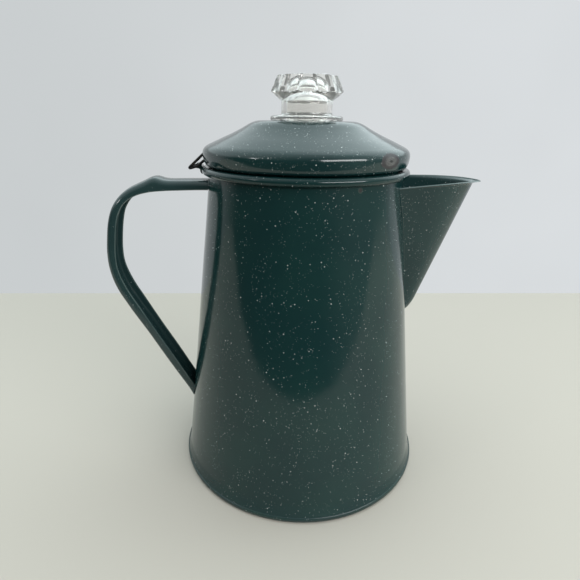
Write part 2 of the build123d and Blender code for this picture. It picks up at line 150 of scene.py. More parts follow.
# ------------------------------------------------------------------ materials
def enamel(name, specks=1.0, green=(0.0078, 0.0350, 0.0345), deep=(0.0060, 0.0285, 0.0290), wear=(), spots=(), shift=0.0, rough0=0.092, spec=0.5):
    """Glass enamel on steel.  wear = [(z_lo, z_hi, r_min, amount)] bands that rub bare; spots = [(x, y, z, radius)] chips."""
    m, nt, bsdf = new_mat(name)
    vec = coords_mm(nt)
    if shift:
        add = node(nt, "ShaderNodeVectorMath", operation="ADD")
        link(nt, vec, add.inputs[0])
        add.inputs[1].default_value = (shift, shift * 0.7, -shift)
        pvec = add.outputs[0]
    else:
        pvec = vec
    tone = noise_tex(nt, pvec, 42.0, 3.0, 0.55)
    col = mix_col(nt, smooth(nt, tone, 0.35, 0.68), deep, green)
    cluster = noise_tex(nt, pvec, 11.0, 2.0, 0.6)
    cl = smooth(nt, cluster, 0.38, 0.62)

    ragged = math_node(nt, "MULTIPLY", math_node(nt, "SUBTRACT", noise_tex(nt, pvec, 0.28, 1.0, 0.5), 0.5), 0.16)

    def layer(cell, rmin, rmax, keep, dim, bright):
        v = voronoi(nt, pvec, cell)
        sep = node(nt, "ShaderNodeSeparateColor")
        link(nt, v.outputs["Color"], sep.inputs[0])
        # size of each speck, most of them small
        sq = math_node(nt, "POWER", sep.outputs[0], 1.5)
        rad = math_node(nt, "ADD", math_node(nt, "MULTIPLY", sq, (rmax - rmin) / cell), rmin / cell)
        inner = math_node(nt, "MULTIPLY", rad, 0.72)
        dist = math_node(nt, "ADD", v.outputs["Distance"], math_node(nt, "MULTIPLY", ragged, rad))
        disc = smooth(nt, dist, inner, rad, 1.0, 0.0)
        chance = math_node(nt, "MULTIPLY", cl, keep)
        chance = math_node(nt, "ADD", chance, keep * 0.28)
        on = math_node(nt, "LESS_THAN", sep.outputs[1], chance)
        gain = math_node(nt, "ADD", math_node(nt, "MULTIPLY", sep.outputs[2], bright - dim), dim)
        return math_node(nt, "MULTIPLY", math_node(nt, "MULTIPLY", disc, on), gain)

    s = math_node(nt, "MAXIMUM", layer(1.85, 0.13, 0.315, 0.58 * specks, 0.50, 1.0), layer(0.90, 0.06, 0.17, 0.82 * specks, 0.20, 0.68))
    col = mix_col(nt, s, col, (0.90, 0.95, 0.93))
    rough = math_node(nt, "ADD", math_node(nt, "MULTIPLY", noise_tex(nt, pvec, 6.0, 3.0, 0.6), 0.07), rough0)
    metal_mask = None
    if wear or spots:
        sepv = node(nt, "ShaderNodeSeparateXYZ")
        link(nt, vec, sepv.inputs[0])
        x, y, z = sepv.outputs
        grit = noise_tex(nt, pvec, 2.6, 4.0, 0.7)
        big = noise_tex(nt, pvec, 19.0, 2.0, 0.5)
        rr = math_node(nt, "SQRT", math_node(nt, "ADD", math_node(nt, "MULTIPLY", x, x), math_node(nt, "MULTIPLY", y, y)))
        for z_lo, z_hi, r_lo, amount in wear:
            band = math_node(nt, "MULTIPLY", smooth(nt, z, z_lo - 0.5, z_lo + 0.4), smooth(nt, z, z_hi - 0.4, z_hi + 0.5, 1.0, 0.0))
            band = math_node(nt, "MULTIPLY", band, smooth(nt, rr, r_lo - 0.3, r_lo + 0.1))
            th = math_node(nt, "ADD", math_node(nt, "MULTIPLY", grit, 0.62), math_node(nt, "MULTIPLY", big, 0.5))
            chip = smooth(nt, th, 0.66 - amount * 0.1, 0.69 - amount * 0.1)
            chip = math_node(nt, "MULTIPLY", chip, band)
            metal_mask = chip if metal_mask is None else math_node(nt, "MAXIMUM", metal_mask, chip)
        if metal_mask is not None:
            rust = mix_col(nt, smooth(nt, grit, 0.35, 0.7), (0.022, 0.017, 0.014), (0.085, 0.045, 0.024))
            col = mix_col(nt, metal_mask, col, rust)
        for cx, cy, cz, rad, kind in spots:
            # offset from the spot, measured round the pot and up it
            sub = node(nt, "ShaderNodeVectorMath", operation="SUBTRACT")
            link(nt, vec, sub.inputs[0])
            sub.inputs[1].default_value = (cx, cy, cz)
            h = math.hypot(cx, cy)
            comps = []
            for axis_v in ((-cy / h, cx / h, 0.0), (cx / h, cy / h, 0.0), (0.0, 0.0, 1.0)):
                dp = node(nt, "ShaderNodeVectorMath", operation="DOT_PRODUCT")
                link(nt, sub.outputs[0], dp.inputs[0])
                dp.inputs[1].default_value = axis_v
                comps.append(dp.outputs["Value"])
            wide = math_node(nt, "MULTIPLY", comps[0], 0.50 if kind == "mark" else 1.0)
            dist3 = math_node(nt, "SQRT", math_node(nt, "ADD", math_node(nt, "MULTIPLY", wide, wide), math_node(nt, "MULTIPLY", comps[2], comps[2])))
            near = smooth(nt, math_node(nt, "ABSOLUTE", comps[1]), 9.0, 12.0, 0.0, 30.0)
            dist3 = math_node(nt, "ADD", dist3, near)
            wob = math_node(nt, "ADD", dist3, math_node(nt, "MULTIPLY", math_node(nt, "SUBTRACT", grit, 0.5), rad * 0.30))
            ring_in = smooth(nt, wob, rad * 0.45, rad * 0.72)
            disc = smooth(nt, wob, rad * 0.88, rad * 1.02, 1.0, 0.0)
            dot = smooth(nt, wob, rad * 0.10, rad * 0.2, 1.0, 0.0)
            if kind == "mark":
                inside = mix_col(nt, smooth(nt, noise_tex(nt, vec, 0.55, 3.0, 0.7), 0.42, 0.62), (0.055, 0.054, 0.052), (0.17, 0.17, 0.165))
                tint = mix_col(nt, ring_in, inside, (0.030, 0.025, 0.028))
                tint = mix_col(nt, dot, tint, (0.012, 0.012, 0.012))
                col = mix_col(nt, math_node(nt, "MULTIPLY", disc, 0.92), col, tint)
                rough = math_node(nt, "ADD", rough, math_node(nt, "MULTIPLY", disc, 0.34))
            else:
                core = smooth(nt, wob, rad * 0.50, rad * 0.62, 1.0, 0.0)
                halo = math_node(nt, "SUBTRACT", disc, core, clamp=True)
                col = mix_col(nt, core, col, (0.008, 0.007, 0.006))
                col = mix_col(nt, math_node(nt, "MULTIPLY", halo, 0.5), col, (0.055, 0.075, 0.065))
                rough = math_node(nt, "ADD", rough, math_node(nt, "MULTIPLY", core, 0.4))
        if metal_mask is not None:
            rough = math_node(nt, "ADD", rough, math_node(nt, "MULTIPLY", metal_mask, 0.45))
    link(nt, col, bsdf.inputs["Base Color"])
    link(nt, rough, bsdf.inputs["Roughness"])
    bsdf.inputs["IOR"].default_value = 1.52
    bsdf.inputs["Specular IOR Level"].default_value = spec
    slow = noise_tex(nt, pvec, 16.0, 1.0, 0.4)
    n1 = bump(nt, bsdf, slow, 0.00022, 0.55)
    peel = noise_tex(nt, pvec, 1.7, 2.0, 0.5)
    n2 = bump(nt, bsdf, peel, 0.00002, 0.5, n1)
    n3 = bump(nt, bsdf, s, 0.00003, 0.6, n2)
    if metal_mask is not None:
        inv = math_node(nt, "SUBTRACT", 1.0, metal_mask)
        n3 = bump(nt, bsdf, inv, 0.00012, 0.8, n3)
    link(nt, n3, bsdf.inputs["Normal"])
    return m


def glass_mat():
    m, nt, bsdf = new_mat("clear_glass")
    vec = coords_mm(nt)
    bsdf.inputs["Base Color"].default_value = (0.985, 0.968, 0.935, 1.0)
    bsdf.inputs["Transmission Weight"].default_value = 0.90
    bsdf.inputs["IOR"].default_value = 1.50
    r = math_node(nt, "ADD", math_node(nt, "MULTIPLY", smooth(nt, noise_tex(nt, vec, 3.2, 3.0, 0.6), 0.45, 0.75), 0.035), 0.008)
    link(nt, r, bsdf.inputs["Roughness"])
    link(nt, bump(nt, bsdf, noise_tex(nt, vec, 5.5, 2.0, 0.5), 0.00012, 0.5), bsdf.inputs["Normal"])
    return m


def aluminium(name, kind="lathe"):
    m, nt, bsdf = new_mat(name)
    vec = coords_mm(nt)
    bsdf.inputs["Metallic"].default_value = 1.0
    stain = noise_tex(nt, vec, 9.0, 4.0, 0.6)
    col = mix_col(nt, smooth(nt, stain, 0.38, 0.72), (0.74, 0.75, 0.765), (0.55, 0.545, 0.53))
    link(nt, col, bsdf.inputs["Base Color"])
    st = node(nt, "ShaderNodeVectorMath", operation="MULTIPLY")
    link(nt, vec, st.inputs[0])
    st.inputs[1].default_value = (0.05, 0.05, 6.0) if kind == "lathe" else (4.0, 4.0, 0.15)
    lines = noise_tex(nt, st.outputs[0], 1.0, 3.0, 0.7)
    r = math_node(nt, "ADD", math_node(nt, "MULTIPLY", lines, 0.16), math_node(nt, "ADD", math_node(nt, "MULTIPLY", stain, 0.12), 0.14))
    link(nt, r, bsdf.inputs["Roughness"])
    b1 = bump(nt, bsdf, lines, 0.00003, 0.5)
    b2 = bump(nt, bsdf, noise_tex(nt, vec, 7.0, 2.0, 0.5), 0.00012, 0.35, b1)
    link(nt, b2, bsdf.inputs["Normal"])
    return m


def dark_wire():
    m, nt, bsdf = new_mat("dark_wire")
    vec = coords_mm(nt)
    bsdf.inputs["Metallic"].default_value = 1.0
    n = noise_tex(nt, vec, 1.4, 4.0, 0.65)
    col = mix_col(nt, smooth(nt, n, 0.42, 0.7), (0.030, 0.031, 0.034), (0.085, 0.075, 0.066))
    link(nt, col, bsdf.inputs["Base Color"])
    link(nt, math_node(nt, "ADD", math_node(nt, "MULTIPLY", n, 0.3), 0.26), bsdf.inputs["Roughness"])
    link(nt, bump(nt, bsdf, n, 0.00005, 0.5), bsdf.inputs["Normal"])
    return m


# ------------------------------------------------------------------ mesh helpers
def catmull(points, step=0.8, closed=False):
    """Smooth curve through points, in the same units, centripetal Catmull-Rom."""
    pts = [Vector((*p, 0)) if len(p) == 2 else Vector(p) for p in points]
    two = len(points[0]) == 2
    out = []
    n = len(pts)
    for i in range(n - 1):
        p1, p2 = pts[i], pts[i + 1]
        p0 = pts[i - 1] if i > 0 else p1 + (p1 - p2)
        p3 = pts[i + 2] if i + 2 < n else p2 + (p2 - p1)
        t0 = 0.0
        t1 = t0 + max((p1 - p0).length, 1e-6) ** 0.5
        t2 = t1 + max((p2 - p1).length, 1e-6) ** 0.5
        t3 = t2 + max((p3 - p2).length, 1e-6) ** 0.5
        k = max(1, int(math.ceil((p2 - p1).length / step)))
        for j in range(k):
            t = t1 + (t2 - t1) * j / k
            a1 = p0 * ((t1 - t) / (t1 - t0)) + p1 * ((t - t0) / (t1 - t0))
            a2 = p1 * ((t2 - t) / (t2 - t1)) + p2 * ((t - t1) / (t2 - t1))
            a3 = p2 * ((t3 - t) / (t3 - t2)) + p3 * ((t - t2) / (t3 - t2))
            b1 = a1 * ((t2 - t) / (t2 - t0)) + a2 * ((t - t0) / (t2 - t0))
            b2 = a2 * ((t3 - t) / (t3 - t1)) + a3 * ((t - t1) / (t3 - t1))
            out.append(b1 * ((t2 - t) / (t2 - t1)) + b2 * ((t - t1) / (t2 - t1)))
    out.append(pts[-1])
    return [(p.x, p.y) for p in out] if two else out


def arc(cx, cz, r, a0, a1, n):
    return [(cx + r * math.cos(math.radians(a0 + (a1 - a0) * i / n)), cz + r * math.sin(math.radians(a0 + (a1 - a0) * i / n))) for i in range(n + 1)]


def seg_pts(p, q, step):
    k = max(1, int(math.hypot(q[0] - p[0], q[1] - p[1]) / step))
    return [(p[0] + (q[0] - p[0]) * i / k, p[1] + (q[1] - p[1]) * i / k) for i in range(k)]


def offset(path, d):
    """Offsets an (a, b) path to its left (negative d: right)."""
    out = []
    n = len(path)
    for k in range(n):
        a, b = path[max(k - 1, 0)], path[min(k + 1, n - 1)]
        dx, dz = b[0] - a[0], b[1] - a[1]
        m = math.hypot(dx, dz) or 1.0
        out.append((path[k][0] - dz / m * d, path[k][1] + dx / m * d))
    return out


def finish_mesh(name, bm, mat, body, nodes=(), sharp=32.0):
    bmesh.ops.recalc_face_normals(bm, faces=bm.faces)
    me = bpy.data.meshes.new(name)
    bm.to_mesh(me)
    bm.free()
    me.shade_smooth()
    me.set_sharp_from_angle(angle=math.radians(sharp))
    o = bpy.data.objects.new(name, me)
    bpy.context.scene.collection.objects.link(o)
    for m in mat if isinstance(mat, (list, tuple)) else [mat]:
        me.materials.append(m)
    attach(o, body)
    if nodes:
        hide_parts(*nodes)
    return o


def lathe_bm(profile, seg=256, wobble=None, closed=True):
    """Ring of quads from (radius, height) points; a point with radius 0 becomes a pole.  wobble(r, theta, z) -> (r, z)."""
    bm = bmesh.new()
    rows = []
    for r, z in profile:
        if r < 1e-6:
            rows.append([bm.verts.new((0, 0, z * MM))])
            continue
        row = []
        for i in range(seg):
            th = 2 * math.pi * i / seg
            rr, zz = wobble(r, th, z) if wobble else (r, z)
            row.append(bm.verts.new((rr * math.cos(th) * MM, rr * math.sin(th) * MM, zz * MM)))
        rows.append(row)
    n = len(rows)
    for k in range(n if closed else n - 1):
        a, b = rows[k], rows[(k + 1) % n]
        if len(a) == 1 and len(b) == 1:
            continue
        for i in range(seg):
            j = (i + 1) % seg
            if len(a) == 1:
                bm.faces.new((a[0], b[i], b[j]))
            elif len(b) == 1:
                bm.faces.new((a[i], a[j], b[0]))
            else:
                bm.faces.new((a[i], a[j], b[j], b[i]))
    return bm


def hand_wobble(amount, seed=0.0, zscale=0.02):
    """Slight waviness of pressed and fired sheet."""
    def f(r, th, z):
        v = noise.noise(Vector((math.cos(th) * 2.1 + seed, math.sin(th) * 2.1, z * zscale)))
        w = noise.noise(Vector((math.cos(th) * 5.3 - seed, math.sin(th) * 5.3, z * zscale * 2.2)))
        return r + amount * (v + 0.45 * w), z
    return f


# ------------------------------------------------------------------ materials in use
MARK = (59.3 * math.cos(math.radians(-51.0)), 59.3 * math.sin(math.radians(-51.0)), 200.2)
m_wall = enamel("enamel_wall", 0.80, green=(0.0078, 0.0345, 0.0325), spec=0.36, spots=[(57.2 * math.cos(math.radians(-68)), 57.2 * math.sin(math.radians(-68)), 186.8, 1.6, "chip")])
m_base = enamel("enamel_base", 0.50, green=(0.0078, 0.0340, 0.0290), wear=[(-0.2, 0.7, 78.0, 1.0)], shift=37.0, rough0=0.20)
m_lid = enamel("enamel_lid", 1.55, spots=[(*MARK, 4.05, "mark")], shift=113.0)
m_spout = enamel("enamel_spout", 1.1, shift=61.0, spec=0.32)
# the edge enamel is much lighter than the wall: partly the thin enamel on cut and rolled edges, partly a painted
# highlight line where those edges catch the light
m_edge_painted_highlight = enamel("enamel_edge_painted_highlight", 0.0, green=(0.085, 0.125, 0.120), deep=(0.060, 0.095, 0.092), shift=91.0)
# the handle enamel is a lighter copy of the wall enamel: painted light standing in for the light falling on the
# handle's sides
m_handle_painted_light = enamel("enamel_handle_painted_light", 0.18, green=(0.022, 0.050, 0.050), deep=(0.018, 0.043, 0.044), shift=211.0)
m_trim = enamel("enamel_trim", 0.2, shift=17.0)
m_glass = glass_mat()
m_alu = aluminium("aluminium_drawn", "lathe")
m_tube = aluminium("aluminium_tube", "tube")
m_wire = dark_wire()

# ------------------------------------------------------------------ pot wall
outer = [(78.75, 1.2), (78.75, 3.2), (79.3, 3.55), (79.27, 3.9), (79.08, 4.5), (78.82, 5.2), (78.56, 6.0), (78.33, 6.9), (78.12, 7.9), (wall_r(9.2) + 0.06, 9.2), (wall_r(10.8) + 0.01, 10.8)]
outer += seg_pts((wall_r(13.0), 13.0), (wall_r(188.4), 188.4), 3.4) + [(wall_r(188.4), 188.4), (wall_r(189.4) + 0.02, 189.4)]
roll = arc(RIM_C, RIM_Z, RIM_TUBE, -142, 180, 56)
inner = [(RIM_C - RIM_TUBE - 0.2, 190.0), (55.45, 188.6), (wall_r(187.0) - T, 187.0)]
inner += seg_pts((wall_r(184.0) - T, 184.0), (wall_r(4.0) - T, 4.0), 9.0) + [(wall_r(2.0) - T, 1.2)]
wall_wob = hand_wobble(0.14, 3.7)


def wall_fn(r, th, z):
    rr, zz = wall_wob(r, th, z)
    # no waviness where the wall meets the foot band and the rolled rim
    k = min(1.0, max(0.0, (z - 8.0) / 14.0)) * min(1.0, max(0.0, (187.5 - z) / 12.0))
    return r + (rr - r) * k, zz


bm = lathe_bm(outer + roll + inner, 320, wall_fn)
pot_wall = finish_mesh("pot_wall_shell", bm, m_wall, "pot", ["pot_wall"], 40)

# strainer holes behind the spout
cutters = []
rows = [(174.0, (-16, -8, 0, 8, 16)), (166.0, (-12, -4, 4, 12)), (158.0, (-13, -6.5, 0, 6.5, 13)), (150.0, (-9.5, -3.2, 3.2, 9.5)),
        (142.0, (-6.4, 0, 6.4)), (134.0, (-3.2, 3.2)), (126.0, (0,))]
cb = bmesh.new()
for z, azs in rows:
    for az in azs:
        mtx = Matrix.Rotation(math.radians(az), 4, "Z") @ Matrix.Translation((0.062, 0, z * MM)) @ Matrix.Rotation(math.radians(90), 4, "Y")
        bmesh.ops.create_cone(cb, cap_ends=True, segments=24, radius1=2.2 * MM, radius2=2.2 * MM, depth=0.03, matrix=mtx)
cme = bpy.data.meshes.new("hole_cutters")
cb.to_mesh(cme)
cb.free()
cut = bpy.data.objects.new("hole_cutters", cme)
bpy.context.scene.collection.objects.link(cut)
mod = pot_wall.modifiers.new("holes", "BOOLEAN")
mod.operation = "DIFFERENCE"
mod.object = cut
mod.solver = "EXACT"
dg = bpy.context.evaluated_depsgraph_get()
cutmesh = bpy.data.meshes.new_from_object(pot_wall.evaluated_get(dg), depsgraph=dg)
pot_wall.modifiers.clear()
old = pot_wall.data
pot_wall.data = cutmesh
bpy.data.meshes.remove(old)
bpy.data.objects.remove(cut)
pot_wall.data.shade_smooth()
pot_wall.data.set_sharp_from_angle(angle=math.radians(40))

# ------------------------------------------------------------------ base plate
base = [(0, 0)] + [(k, 0.0) for k in (20, 45, 65, 74)] + [(77.7, 0.0), (78.4, 0.06), (78.95, 0.25), (79.4, 0.6), (79.7, 1.05), (79.9, 1.6), (80.0, 2.2), (79.99, 2.7),
        (79.92, 3.15), (79.8, 3.5), (79.6, 3.8), (79.3, 3.95), (79.05, 3.9), (78.7, 3.6), (78.8, 2.4), (78.85, 1.2), (78.7, 0.9), (60, 0.9), (30, 0.9), (0, 0.9)]
bm = lathe_bm(base, 320, None, closed=False)
finish_mesh("base_plate_shell", bm, m_base, "pot", ["base_plate"], 50)

# ------------------------------------------------------------------ lid dome
dome_ctrl = [(14.9, 218.3), (20.0, 218.3), (25.5, 218.25), (28.5, 217.95), (31.8, 216.85), (37.0, 214.0), (42.5, 211.25),
             (49.0, 208.35), (53.8, 206.15), (56.4, 204.9), (58.1, 203.7), (59.1, 202.2), (59.4, 200.5), (59.25, 198.5), (58.9, 196.7),
             (58.3, 195.2), (57.4, 194.15), (56.4, 193.75), (54.6, 193.7)]
dome_o = catmull(dome_ctrl, 0.9)
dome_i = list(reversed(offset(dome_o, -T)))
lip_in = [(14.75, 217.9), (14.75, 217.6)]


def dome_fn(r, th, z):
    # bayonet notches either side of the hole
    a = math.degrees(th) % 180.0
    a = min(a, 180.0 - a)
    edge = 17.4 if a < 19.0 else (17.4 - (a - 19.0) / 2.0 * 2.6 if a < 21.0 else 14.8)
    if r < edge:
        return edge, z
    v = noise.noise(Vector((math.cos(th) * 1.9, math.sin(th) * 1.9, z * 0.03 + 9.0)))
    k = min(1.0, max(0.0, (r - 30.0) / 12.0)) * min(1.0, max(0.0, (z - 200.0) / 4.0))
    return r, z + 0.10 * v * k


bm = lathe_bm(dome_o + dome_i, 320, dome_fn)
bmesh.ops.remove_doubles(bm, verts=bm.verts, dist=1e-6)
finish_mesh("lid_dome_shell", bm, m_lid, "lid", ["lid_dome"], 50)

# ------------------------------------------------------------------ lid skirt
SK = 53.9
skirt = [(SK - 0.8, 187.0), (SK - 0.75, 186.55), (SK - 0.4, 186.27), (SK - 0.08, 186.55), (SK, 187.0), (SK, 189.0), (SK, 192.0), (SK, 194.05), (SK + 0.12, 194.5),
         (SK + 0.5, 194.69), (56.1, 194.71), (56.35, 194.95), (56.4, 195.25), (56.2, 195.45), (SK + 0.2, 195.47), (SK - 0.5, 195.15), (SK - 0.8, 194.45), (SK - 0.8, 191.0)]
bm = lathe_bm(skirt, 256)
finish_mesh("lid_skirt_shell", bm, m_trim, "lid", ["lid_skirt"], 50)

# ------------------------------------------------------------------ glass knob
K_OUT = [(11.4, 212.75), (11.6, 212.6), (13.9, 212.6), (14.25, 212.75), (14.35, 213.0), (14.35, 216.0), (14.35, 218.3), (14.55, 218.5), (16.0, 218.5), (18.0, 218.5), (20.1, 218.5),
         (20.45, 218.6), (20.68, 218.9), (20.7, 219.4), (20.6, 219.9), (20.3, 220.35), (19.7, 220.75), (18.6, 220.98), (17.0, 221.1), (15.6, 221.2), (14.8, 221.5), (14.45, 221.95),
         (14.35, 222.6), (14.35, 224.5), (14.35, 226.4), (14.35, 228.1), (14.45, 228.5), (14.75, 228.8)]
top_round = [(20.05, 233.35), (20.1, 233.6), (20.05, 233.9)]


def knob_mesh():
    seg = 360
    under = [(14.75 + (20.5 - 14.75) * k / 8, 228.8 + (233.2 - 228.8) * k / 8) for k in range(1, 9)]
    side = [(20.6 - (20.6 - 17.3) * k / 16, 233.55 + (240.7 - 233.55) * k / 16) for k in range(0, 17)]
    crown = [(17.05, 241.05), (16.6, 241.3), (15.6, 241.5), (13.0, 241.75), (9.5, 241.94), (6.0, 241.98), (3.0, 242.0), (0, 242.0)]
    inside = [(0, 238.6), (2.4, 238.5), (4.6, 238.1), (6.6, 237.4), (8.4, 236.3), (9.7, 234.9), (10.7, 233.1), (11.2, 231.3), (11.4, 229.4), (11.4, 225.0), (11.4, 220.0), (11.4, 215.5)]
    prof = K_OUT + under + side + crown + inside
    lo_side = len(K_OUT)
    hi_side = len(K_OUT) + len(under) + len(side) + 3
    rf = 16.0

    def f(idx, r, th, z):
        if not (lo_side <= idx < hi_side):
            return r
        a = 19.0 - (z - 233.4) * (2.9 / 7.4)
        dc = a + rf
        phi = (math.degrees(th) - 263.0 + 15.0) % 30.0 - 15.0
        s = dc * math.sin(math.radians(phi))
        cut = dc * math.cos(math.radians(phi)) - math.sqrt(rf * rf - s * s)
        # soft crossing between the scoop and the turned form
        d = r - cut
        w = 0.035
        if d > w:
            return cut
        if d < -w:
            return r
        return r - (d + w) ** 2 / (4 * w)
    bm = bmesh.new()
    rows_ = []
    for idx, (r, z) in enumerate(prof):
        if r < 1e-6:
            rows_.append([bm.verts.new((0, 0, z * MM))])
            continue
        row = []
        for i in range(seg):
            th = 2 * math.pi * i / seg
            rr = f(idx, r, th, z)
            row.append(bm.verts.new((rr * math.cos(th) * MM, rr * math.sin(th) * MM, z * MM)))
        rows_.append(row)
    n = len(rows_)
    for k in range(n):
        a, b = rows_[k], rows_[(k + 1) % n]
        if len(a) == 1 and len(b) == 1:
            continue
        for i in range(seg):
            j = (i + 1) % seg
            if len(a) == 1:
                bm.faces.new((a[0], b[i], b[j]))
            elif len(b) == 1:
                bm.faces.new((a[i], a[j], b[0]))
            else:
                bm.faces.new((a[i], a[j], b[j], b[i]))
    # bayonet lugs under the lid, small rounded blocks on the neck
    for az in (90, 270):
        for k in range(1):
            pts = [(13.6, 214.9), (16.2, 214.9), (16.6, 215.05), (16.8, 215.4), (16.8, 216.7), (16.6, 217.0), (16.2, 217.1), (13.6, 217.1)]
            na = 14
            grid = []
            for i in range(na + 1):
                th = math.radians(az - 15 + 30 * i / na)
                shrink = 0.25 if i in (0, na) else 0.0
                grid.append([bm.verts.new(((r - shrink) * math.cos(th) * MM, (r - shrink) * math.sin(th) * MM, z * MM)) for r, z in pts])
            m = len(pts)
            for i in range(na):
                for j in range(m):
                    bm.faces.new((grid[i][j], grid[i + 1][j], grid[i + 1][(j + 1) % m], grid[i][(j + 1) % m]))
            bm.faces.new(grid[0])
            bm.faces.new(list(reversed(grid[-1])))
    return bm


finish_mesh("glass_knob_shell", knob_mesh(), m_glass, "knob", ["glass_knob"], 28)

# ------------------------------------------------------------------ handle
outer_path = [(62, 185.45), (72, 185.4), (79.0, 185.4), (82.4, 185.8), (85.0, 186.65), (87.2, 186.95), (89.6, 186.35),
              (93.0, 184.75), (97.0, 183.0), (102.2, 180.5), (107.6, 176.4), (112.2, 170.3), (115.3, 162.4), (117.2, 152.9), (118.3, 143.1),
              (118.0, 133.2), (115.4, 121.9), (108.6, 107.5), (99.6, 91.2), (90.5, 73.8), (81.2, 56.6)]
free_edge = [(62, 180.4), (72.9, 180.1), (81.8, 179.8), (90.7, 179.0), (98.2, 176.9), (104.2, 173.0), (108.1, 167.4),
             (110.1, 160.9), (111.7, 152.0), (112.7, 142.9), (112.4, 133.2), (108.9, 121.9), (101.7, 107.4), (92.9, 90.2), (83.9, 73.5), (74.6, 55.4)]
W = 18.0
ST = 1.1
CR = 3.2


def resample(path, n):
    d = [0.0]
    for p, q in zip(path, path[1:]):
        d.append(d[-1] + math.hypot(q[0] - p[0], q[1] - p[1]))
    out, k = [], 0
    for i in range(n):
        t = d[-1] * i / (n - 1)
        while k < len(d) - 2 and d[k + 1] < t:
            k += 1
        u = (t - d[k]) / max(d[k + 1] - d[k], 1e-9)
        out.append((path[k][0] + (path[k + 1][0] - path[k][0]) * u, path[k][1] + (path[k + 1][1] - path[k][1]) * u))
    return out


def handle_mesh():
    full_o = catmull([(50, 185.45)] + outer_path + [(66.6, 30.2)], 0.7)
    full_i = catmull([(50, 180.6)] + free_edge + [(61.6, 30.4)], 0.7)

    def at_wall(path, top):
        """Cuts a path where it enters the wall sheet, first for the top end and last for the lower end."""
        keep = [p for p in path if p[0] > wall_r(p[1]) - 0.55 or p[1] > 200]
        return keep
    o = resample(at_wall(full_o, True), 190)
    i_dense = at_wall(full_i, True)
    # partner on the free edge: nearest along the path normal, kept in order
    i_res = resample(i_dense, 1200)
    partner, last = [], 0
    for a, p in enumerate(o):
        q0, q1 = o[max(a - 1, 0)], o[min(a + 1, len(o) - 1)]
        tx, tz = q1[0] - q0[0], q1[1] - q0[1]
        m = math.hypot(tx, tz)
        tx, tz = tx / m, tz / m
        best, bk = 1e9, last
        for k in range(last, min(last + 60, len(i_res))):
            d = abs((i_res[k][0] - p[0]) * tx + (i_res[k][1] - p[1]) * tz)
            if d < best:
                best, bk = d, k
        partner.append(i_res[bk])
        last = bk
    # the two ends follow the wall
    partner[0] = (wall_r(partner[0][1]) - 0.55, partner[0][1])
    partner[-1] = (wall_r(partner[-1][1]) - 0.55, partner[-1][1])
    bm = bmesh.new()
    rows_ = []
    n = len(o)
    for a in range(n):
        p, q = o[a], partner[a]
        dx, dz = q[0] - p[0], q[1] - p[1]
        depth = math.hypot(dx, dz)
        dx, dz = dx / depth, dz / depth
        flare = 0.0
        u = a / (n - 1)
        if u < 0.05:
            flare = 1.3 * (1 - u / 0.05) ** 2
        elif u > 0.955:
            flare = 1.0 * ((u - 0.955) / 0.045) ** 2
        hw = W / 2 + flare
        # hammered, slightly crowned web
        crown_h = 0.42
        sec = []
        k = 8
        e = ST / 2
        # free edge at -y, rounded
        for j in range(5):
            ang = math.pi * j / 4
            sec.append((depth - e + e * math.sin(ang), -(hw - e) + e * math.cos(ang)))
        side_n = 5
        for j in range(1, side_n):
            sec.append((depth - e + (CR - depth + e) * j / side_n, -hw))
        for j in range(k + 1):
            ang = math.pi / 2 * j / k
            sec.append((CR - CR * math.sin(ang), -hw + CR - CR * math.cos(ang)))
        for j in range(1, 8):
            yy = -(hw - CR) + 2 * (hw - CR) * j / 8
            sec.append((-crown_h * (1 - (yy / (hw - CR)) ** 2) + 0.0, yy))
        for j in range(k + 1):
            ang = math.pi / 2 * j / k
            sec.append((CR - CR * math.cos(ang), hw - CR + CR * math.sin(ang)))
        for j in range(1, side_n):
            sec.append((CR + (depth - e - CR) * j / side_n, hw))
        for j in range(5):
            ang = math.pi * j / 4
            sec.append((depth - e + e * math.sin(ang), (hw - e) + e * math.cos(ang)))
        ir = CR - ST
        for j in range(1, side_n):
            sec.append((depth - e + (CR - depth + e) * j / side_n, hw - ST))
        for j in range(k + 1):
            ang = math.pi / 2 * j / k
            sec.append((CR - ir * math.sin(ang), hw - ST - ir + ir * math.cos(ang)))
        for j in range(1, 8):
            yy = (hw - CR) - 2 * (hw - CR) * j / 8
            sec.append((ST - crown_h * (1 - (yy / (hw - CR)) ** 2), yy))
        for j in range(k + 1):
            ang = math.pi / 2 * j / k
            sec.append((CR - ir * math.cos(ang), -(hw - ST - ir) - ir * math.sin(ang)))
        for j in range(1, side_n):
            sec.append((CR + (depth - e - CR) * j / side_n, -(hw - ST)))
        row = []
        for d, y in sec:
            wob = 0.07 * noise.noise(Vector((p[0] * 0.07, y * 0.12, p[1] * 0.07)))
            rho, zz = p[0] + dx * d + wob, p[1] + dz * d + wob
            row.append(bm.verts.new((-rho * MM, y * MM, zz * MM)))
        rows_.append(row)
    m = len(rows_[0])
    for a in range(n - 1):
        for j in range(m):
            face = bm.faces.new((rows_[a][j], rows_[a + 1][j], rows_[a + 1][(j + 1) % m], rows_[a][(j + 1) % m]))
            # the free edges of the strap take the lighter edge enamel, a painted highlight line along them
            if 1 <= j <= 3 or 39 <= j <= 41:
                face.material_index = 1
    # the end sections lie inside the wall sheet
    for row, rev in ((rows_[0], False), (rows_[-1], True)):
        bm.faces.new(list(reversed(row)) if rev else row)
    return bm, rows_


bm, _rows = handle_mesh()
# the handle wears its lighter copy of the enamel (painted light) and the edge enamel (painted highlight line)
finish_mesh("handle_shell", bm, [m_handle_painted_light, m_edge_painted_highlight], "pot", ["handle"], 40)


